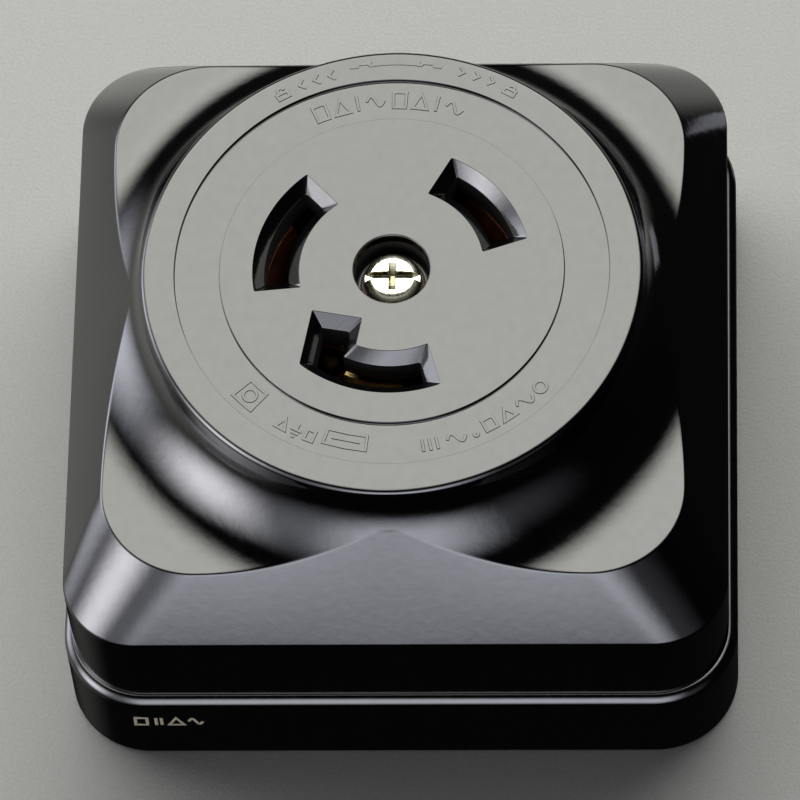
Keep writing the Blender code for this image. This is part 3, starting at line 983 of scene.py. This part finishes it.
def earth_lines(u, height):
    """The usual earth symbol: a stem on three shrinking bars."""
    bars = [level_line(u, height * w, height * v) for w, v in ((0.8, 0), (0.5, -0.25), (0.2, -0.5))]
    return [bar_line(u, height / 2, height / 4), *bars]


def make_face_marks():
    """Plain symbols in the places of the face's raised legends, and the stepped double arrow."""
    rim, floor = FACE_Z, FACE_Z - CHANNEL_DEPTH
    unlock = padlock_lines(-3.4, True) + [chevron_line(u, 1.4, -1) for u in (-0.6, 1.4, 3.4)]
    lock = [chevron_line(u, 1.3, 1) for u in (-3.4, -1.4, 0.6)] + padlock_lines(3.4, False)
    makers = []
    for u in (-9.2, 1.0):
        makers += [box_line(u, 1.6, 2.2), triangle_line(u + 2.7, 2.0, 2.1)]
        makers += [bar_line(u + 4.8, 2.2), wave_line(u + 7.1, 2.2, 1.5)]
    square = [box_line(0, 3.0, 3.0), ring_line(0, 0.85)]
    earth = [triangle_line(-1.9, 1.3, 1.5), *earth_lines(0, 1.9), box_line(1.9, 1.1, 1.4)]
    fuse = [box_line(0, 5.2, 2.0), level_line(0, 3.6)]
    ratings = [bar_line(-8.9 + 0.9 * i, 1.7) for i in range(3)]
    ratings += [wave_line(-4.6, 2.4, 1.4), ring_line(-2.2, 0.25, -0.55), box_line(-0.1, 1.5, 1.6)]
    ratings += [triangle_line(2.5, 1.8, 1.6), wave_line(5.3, 2.4, 1.4), ring_line(8.0, 0.8)]
    groups = [
        (unlock, on_face(29.2, 112.9, rim, 1)),
        (lock, on_face(29.6, 66.9, rim, 1)),
        (makers, on_face(24.6, 91.0, floor, 1)),
        (square, on_face(24.65, -134.6, floor, -1)),
        (earth, on_face(25.2, -117.0, floor, -1)),
        (fuse, on_face(24.5, -102.4, floor, -1)),
        (ratings, on_face(25.05, -59.7, floor, -1)),
        (double_arrow_lines(), lambda u, v, up: (u, v, rim + up)),
    ]
    mesh = bmesh.new()
    for strokes, at in groups:
        for points, closed in strokes:
            add_stroke(mesh, points, at, MARK_HEIGHT, closed)
    return new_piece("face_marks", mesh)


def double_arrow_lines():
    """A line along the rim that steps out at both ends into arrow heads."""
    strokes = []
    for way in (-1, 1):
        tip, heel = (way * 5.9, 29.07), (way * 3.3, 29.7)
        strokes.append(([tip, (way * 4.6, 29.55), heel, (way * 3.4, 29.35)], False))
        strokes.append(([tip, (way * 4.7, 29.2)], False))
    middle = [(x, 29.35 + 0.3 * (1 - (x / 3.4) ** 2)) for x in (-3.4, -2.2, -1.1, 0, 1.1, 2.2, 3.4)]
    return [*strokes, (middle, False)]


def make_base_marks():
    """Small stamped shapes low on the front of the base."""
    strokes = [
        box_line(-3.5, 1.5, 2.0),
        bar_line(-1.6, 2.0),
        bar_line(-0.9, 2.0),
        triangle_line(1.0, 1.9, 2.0),
        wave_line(3.5, 1.8, 1.6),
    ]
    mesh = bmesh.new()
    for points, closed in strokes:
        add_stroke(mesh, points, on_base_front(*STAMP_AT), STAMP_HEIGHT, closed)
    return new_piece("base_marks", mesh)


# ---------------------------------------------------------------- materials


def node(tree, kind, **settings):
    made = tree.nodes.new(kind)
    for name, value in settings.items():
        setattr(made, name, value)
    return made


def noise(tree, scale, detail=4.0, roughness=0.5):
    """Fine noise in the object's own coordinates; scale is in features per metre."""
    source = node(tree, "ShaderNodeTexCoord")
    texture = node(tree, "ShaderNodeTexNoise")
    texture.inputs["Scale"].default_value = scale
    texture.inputs["Detail"].default_value = detail
    texture.inputs["Roughness"].default_value = roughness
    tree.links.new(source.outputs["Object"], texture.inputs["Vector"])
    return texture.outputs["Fac"]


def ramp(tree, source, low, high, first, last, curve="LINEAR"):
    """Maps low..high to first..last and holds the ends beyond."""
    made = node(tree, "ShaderNodeMapRange", interpolation_type=curve)
    made.inputs["From Min"].default_value = low
    made.inputs["From Max"].default_value = high
    made.inputs["To Min"].default_value = first
    made.inputs["To Max"].default_value = last
    tree.links.new(source, made.inputs["Value"])
    return made.outputs["Result"]


def product(tree, first, second):
    made = node(tree, "ShaderNodeMath", operation="MULTIPLY")
    tree.links.new(first, made.inputs[0])
    tree.links.new(second, made.inputs[1])
    return made.outputs[0]


def mix(tree, factor, first, second):
    """first, a colour or a socket, where the factor is 0 and second where it is 1."""
    kind, data_type = ("Float", "FLOAT") if isinstance(second, float) else ("Color", "RGBA")
    mixer = node(tree, "ShaderNodeMix", data_type=data_type)
    sockets = {socket.identifier: socket for socket in (*mixer.inputs, *mixer.outputs)}
    if isinstance(first, tuple):
        sockets[f"A_{kind}"].default_value = first
    else:
        tree.links.new(first, sockets[f"A_{kind}"])
    sockets[f"B_{kind}"].default_value = second
    tree.links.new(factor, mixer.inputs["Factor"])
    return sockets[f"Result_{kind}"]


def bump(tree, source, distance):
    made = node(tree, "ShaderNodeBump")
    made.inputs["Distance"].default_value = distance * MM
    tree.links.new(source, made.inputs["Height"])
    return made.outputs["Normal"]


def new_material(name):
    material = bpy.data.materials.new(name)
    material.use_nodes = True
    tree = material.node_tree
    return material, tree, tree.nodes["Principled BSDF"]


def well_mask(tree, radius, bottom, top):
    """1 near the centre axis between two heights, 0 elsewhere."""
    position = node(tree, "ShaderNodeTexCoord").outputs["Object"]
    split = node(tree, "ShaderNodeSeparateXYZ")
    tree.links.new(position, split.inputs["Vector"])
    flat = node(tree, "ShaderNodeVectorMath", operation="MULTIPLY")
    flat.inputs[1].default_value = (1, 1, 0)
    tree.links.new(position, flat.inputs[0])
    distance = node(tree, "ShaderNodeVectorMath", operation="LENGTH")
    tree.links.new(flat.outputs["Vector"], distance.inputs[0])
    fade = 0.2 * MM
    height = split.outputs["Z"]
    inside = ramp(tree, distance.outputs["Value"], radius * MM, radius * MM + fade, 1.0, 0.0)
    below = ramp(tree, height, top * MM - fade, top * MM, 1.0, 0.0)
    above = ramp(tree, height, bottom * MM - fade, bottom * MM, 0.0, 1.0)
    return product(tree, product(tree, inside, below), above)


def phenolic(name, rough_low, rough_high, bores=False):
    """Polished black phenolic: mottled polish, orange peel and a little dust; bores are dull."""
    material, tree, shader = new_material(name)
    shader.inputs["IOR"].default_value = 1.6
    dust = ramp(tree, noise(tree, 5200, 2), 0.68, 0.8, 0.0, 1.0)
    colour = mix(tree, dust, (0.0008, 0.0008, 0.0009, 1), (0.004, 0.004, 0.004, 1))
    tree.links.new(colour, shader.inputs["Base Color"])
    roughness = ramp(tree, noise(tree, 400, 6), 0.3, 0.7, rough_low, rough_high)
    if bores:
        mask = well_mask(tree, SLOT_R[1] + 0.2, WEB_BOTTOM, FACE_Z - SLOT_CHAMFER_DEPTH)
        roughness = mix(tree, mask, roughness, 0.5)
    tree.links.new(roughness, shader.inputs["Roughness"])
    sheen = ramp(tree, noise(tree, 650, 4), 0.3, 0.7, 0.485, 0.515)
    tree.links.new(sheen, shader.inputs["Specular IOR Level"])
    peel = bump(tree, noise(tree, 850, 2), 0.012)
    grain = bump(tree, noise(tree, 6000, 2), 0.0012)
    tree.links.new(peel, grain.node.inputs["Normal"])
    tree.links.new(grain, shader.inputs["Normal"])
    return material


def metal(name, colour, tint, rough_low, rough_high, grain=1500, depth=0.004):
    """A metal with tarnish mottling, uneven polish and fine grain."""
    material, tree, shader = new_material(name)
    shader.inputs["Metallic"].default_value = 1.0
    mottle = ramp(tree, noise(tree, 500, 5), 0.35, 0.7, 0.0, 1.0)
    tree.links.new(mix(tree, mottle, colour, tint), shader.inputs["Base Color"])
    polish = ramp(tree, noise(tree, 2500, 4), 0.3, 0.7, rough_low, rough_high)
    tree.links.new(polish, shader.inputs["Roughness"])
    tree.links.new(bump(tree, noise(tree, grain, 5), depth), shader.inputs["Normal"])
    return material


def nickel_plate():
    """Bright nickel, with painted shade darkening the driver recess."""
    material = metal(
        "nickel_plate", (0.80, 0.78, 0.66, 1), (0.68, 0.65, 0.50, 1), 0.14, 0.28, 2500, 0.006
    )
    tree = material.node_tree
    colour = tree.nodes["Principled BSDF"].inputs["Base Color"]
    plated = colour.links[0].from_socket
    # Painted shade: a dim yellowish grey colour fills the driver recess.
    recess_shade = well_mask(tree, DRIVER_R, HEAD_BOTTOM, HEAD_TOP - 0.25)
    tree.links.new(mix(tree, recess_shade, plated, (0.16, 0.155, 0.10, 1)), colour)
    return material


def dull(name, dark, light, rough_low, rough_high, depth, scale=3000):
    """A matt stuff such as fibre or printed ink, flecked from a dark to a light colour."""
    material, tree, shader = new_material(name)
    grain = noise(tree, scale, 8, 0.7)
    tree.links.new(mix(tree, grain, dark, light), shader.inputs["Base Color"])
    roughness = ramp(tree, grain, 0.3, 0.7, rough_low, rough_high)
    tree.links.new(roughness, shader.inputs["Roughness"])
    tree.links.new(bump(tree, grain, depth), shader.inputs["Normal"])
    return material


def floor_material():
    """Pale grey card with a fine even tooth."""
    material, tree, shader = new_material("studio_floor")
    grain = noise(tree, 2400, 3)
    colour = mix(tree, grain, (0.165, 0.165, 0.159, 1), (0.22, 0.22, 0.212, 1))
    tree.links.new(colour, shader.inputs["Base Color"])
    shader.inputs["Roughness"].default_value = 0.9
    tree.links.new(bump(tree, grain, 0.08), shader.inputs["Normal"])
    return material


def make_looks():
    """One material for each material slot."""
    return {
        "cover_phenolic": phenolic("cover_phenolic", 0.07, 0.12, bores=True),
        "base_phenolic": phenolic("base_phenolic", 0.09, 0.15),
        "nickel_plate": nickel_plate(),
        "brass": metal("brass", (0.30, 0.21, 0.09, 1), (0.17, 0.12, 0.06, 1), 0.3, 0.5),
        "phosphor_bronze": metal(
            "phosphor_bronze", (0.21, 0.075, 0.035, 1), (0.11, 0.045, 0.025, 1), 0.35, 0.55
        ),
        "zinc_steel": metal("zinc_steel", (0.6, 0.6, 0.58, 1), (0.5, 0.5, 0.5, 1), 0.25, 0.4),
        "fibre": dull("fibre", (0.035, 0.016, 0.012, 1), (0.09, 0.04, 0.03, 1), 0.45, 0.7, 0.02),
        "marking_ink": dull(
            "marking_ink", (0.80, 0.68, 0.48, 1), (0.98, 0.88, 0.68, 1), 0.45, 0.65, 0.01
        ),
    }


def dress(piece, material):
    """Gives a piece one material all over."""
    piece.data.materials.clear()
    piece.data.materials.append(material)


# ---------------------------------------------------------------- studio


def make_camera():
    """Camera from its direction, roll and distance, aimed at the middle of the object."""
    az, el, roll = (math.radians(v) for v in (AZIMUTH, ELEVATION, ROLL))
    back = Vector((math.sin(az) * math.cos(el), -math.cos(az) * math.cos(el), math.sin(el)))
    right = Vector((math.cos(az), math.sin(az), 0))
    up = back.cross(right)
    x_axis = right * math.cos(roll) + up * math.sin(roll)
    y_axis = up * math.cos(roll) - right * math.sin(roll)
    eye = Vector((0, 0, AIM_Z)) + back * DISTANCE
    eye -= x_axis * FRAME_OFFSET[0] + y_axis * FRAME_OFFSET[1]
    data = bpy.data.cameras.new("camera")
    data.lens = LENS
    data.sensor_width = SENSOR
    data.clip_end = CLIP_END
    camera = bpy.data.objects.new("camera", data)
    turn = Matrix((x_axis, y_axis, back)).transposed().to_4x4()
    camera.matrix_world = Matrix.Translation(eye * MM) @ turn
    bpy.context.scene.collection.objects.link(camera)
    bpy.context.scene.camera = camera


def soft_edge(tree, position, edge):
    """Brightness across a panel, 1 in its middle and falling to 0 at both sides."""
    centred = node(tree, "ShaderNodeMath", operation="SUBTRACT")
    tree.links.new(position, centred.inputs[0])
    centred.inputs[1].default_value = 0.5
    distance = node(tree, "ShaderNodeMath", operation="ABSOLUTE")
    tree.links.new(centred.outputs[0], distance.inputs[0])
    return ramp(tree, distance.outputs[0], 0.5 * (1 - edge), 0.5, 1.0, 0.0, "SMOOTHSTEP")


def soft_panel(name, direction, half_angles, radiance, colour, edge):
    """A diffuse panel that faces the object and fades out towards its edges."""
    size = [2 * PANEL_DISTANCE * math.tan(math.radians(angle)) for angle in half_angles]
    data = bpy.data.lights.new(name, "AREA")
    data.shape = "RECTANGLE"
    data.size, data.size_y = size
    data.energy = radiance * math.pi * size[0] * size[1]
    data.color = colour
    data.use_nodes = True
    tree = data.node_tree
    surface = node(tree, "ShaderNodeNewGeometry")
    split = node(tree, "ShaderNodeSeparateXYZ")
    tree.links.new(surface.outputs["Parametric"], split.inputs["Vector"])
    across, along = (soft_edge(tree, split.outputs[i], edge) for i in range(2))
    tree.links.new(product(tree, across, along), tree.nodes["Emission"].inputs["Strength"])
    light = bpy.data.objects.new(name, data)
    light.visible_camera = False
    az, el = (math.radians(angle) for angle in direction)
    away = Vector((math.cos(az) * math.cos(el), math.sin(az) * math.cos(el), math.sin(el)))
    light.location = away * PANEL_DISTANCE + Vector((0, 0, PANEL_AIM_Z))
    light.rotation_euler = away.to_track_quat("Z", "Y").to_euler()
    bpy.context.scene.collection.objects.link(light)
    return light


def make_lights():
    """Panels that are only seen in the gloss, and panels that only light the dull surfaces."""
    for panel in GLOSS_PANELS:
        soft_panel(*panel).visible_diffuse = False
    for panel in DULL_PANELS:
        soft_panel(*panel).visible_glossy = False


def make_world():
    world = bpy.data.worlds.new("studio")
    bpy.context.scene.world = world
    world.use_nodes = True
    shader = world.node_tree.nodes["Background"]
    shader.inputs["Color"].default_value = (0.9, 0.93, 1.0, 1)
    shader.inputs["Strength"].default_value = 0.01


def make_floor():
    mesh = bmesh.new()
    bmesh.ops.create_grid(mesh, x_segments=1, y_segments=1, size=3.0)
    floor = plain_object("studio_floor", mesh)
    floor.location.z = -0.0001
    floor.visible_glossy = False
    dress(floor, floor_material())


# ---------------------------------------------------------------- assembly


def place(piece, body, looks, slot, *nodes):
    """A finished piece: its look, the body it rides on and the CAD nodes it stands for."""
    dress(piece, looks[slot])
    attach(piece, body)
    if nodes:
        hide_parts(*nodes)


def make_pole(name, angle, looks):
    """Everything at one pole: contact, sprung jaw, rivets, nut, clamp washer and screw."""
    strip = POLE_METALS[name]
    contact, leaf = f"contact_{name}", f"contact_leaf_{name}"
    nut, washer, screw = (f"terminal_{kind}_{name}" for kind in ("nut", "washer", "screw"))
    rivets = (
        (f"contact_rivet_{name}", CONTACT_RIVET_AT, STRAP_Z[1]),
        (f"leaf_rivet_{name}", LEAF_RIVET_AT, STRAP_Z[0] + LEAF_THICK),
    )
    place(make_contact(name, angle), "base", looks, strip, contact)
    place(make_contact_leaf(name, angle), leaf, looks, strip, leaf)
    for rivet, radius, top in rivets:
        place(make_rivet(f"{rivet}_turned", angle, radius, top), "base", looks, "brass", rivet)
    nut_z = (NUT_TOP - NUT_HEIGHT, NUT_TOP)
    plate = make_terminal_plate(f"{nut}_square", angle, nut_z, NUT_HOLE_R, 0.4)
    place(plate, "base", looks, "brass", nut)
    plate = make_terminal_plate(f"{washer}_square", angle, CLAMP_Z, WASHER_HOLE_R, 0.25)
    place(plate, washer, looks, "zinc_steel", washer)
    place(make_terminal_screw(name, angle), screw, looks, "zinc_steel", screw)


def make_centre(looks):
    """The cover screw with its washer, retainer and threaded insert."""
    place(make_cover_screw(), "cover_screw", looks, "nickel_plate", "cover_screw")
    washer = make_ring("screw_washer_ring", HEAD_WASHER_R, HEAD_WASHER_Z, 0.2)
    place(washer, "cover_screw_fittings", looks, "fibre", "cover_screw_washer")
    retainer = make_ring("screw_retainer_ring", HEAD_WASHER_R, RETAINER_Z, 0.2)
    place(retainer, "cover_screw_fittings", looks, "fibre", "cover_screw_retainer")
    insert = make_ring("screw_insert_grooved", INSERT_R, INSERT_Z, 0.25, INSERT_GROOVES)
    place(insert, "base", looks, "brass", "cover_screw_insert")


def main():
    bpy.context.scene.view_settings.view_transform = "Standard"
    make_camera()
    make_world()
    make_lights()
    make_floor()
    looks = make_looks()
    place(make_cover(), "cover", looks, "cover_phenolic", "cover")
    place(make_face_marks(), "cover", looks, "cover_phenolic")
    place(make_base(), "base", looks, "base_phenolic", "base")
    place(make_base_marks(), "base", looks, "marking_ink")
    make_centre(looks)
    for name, angle in POLES.items():
        make_pole(name, angle, looks)


main()
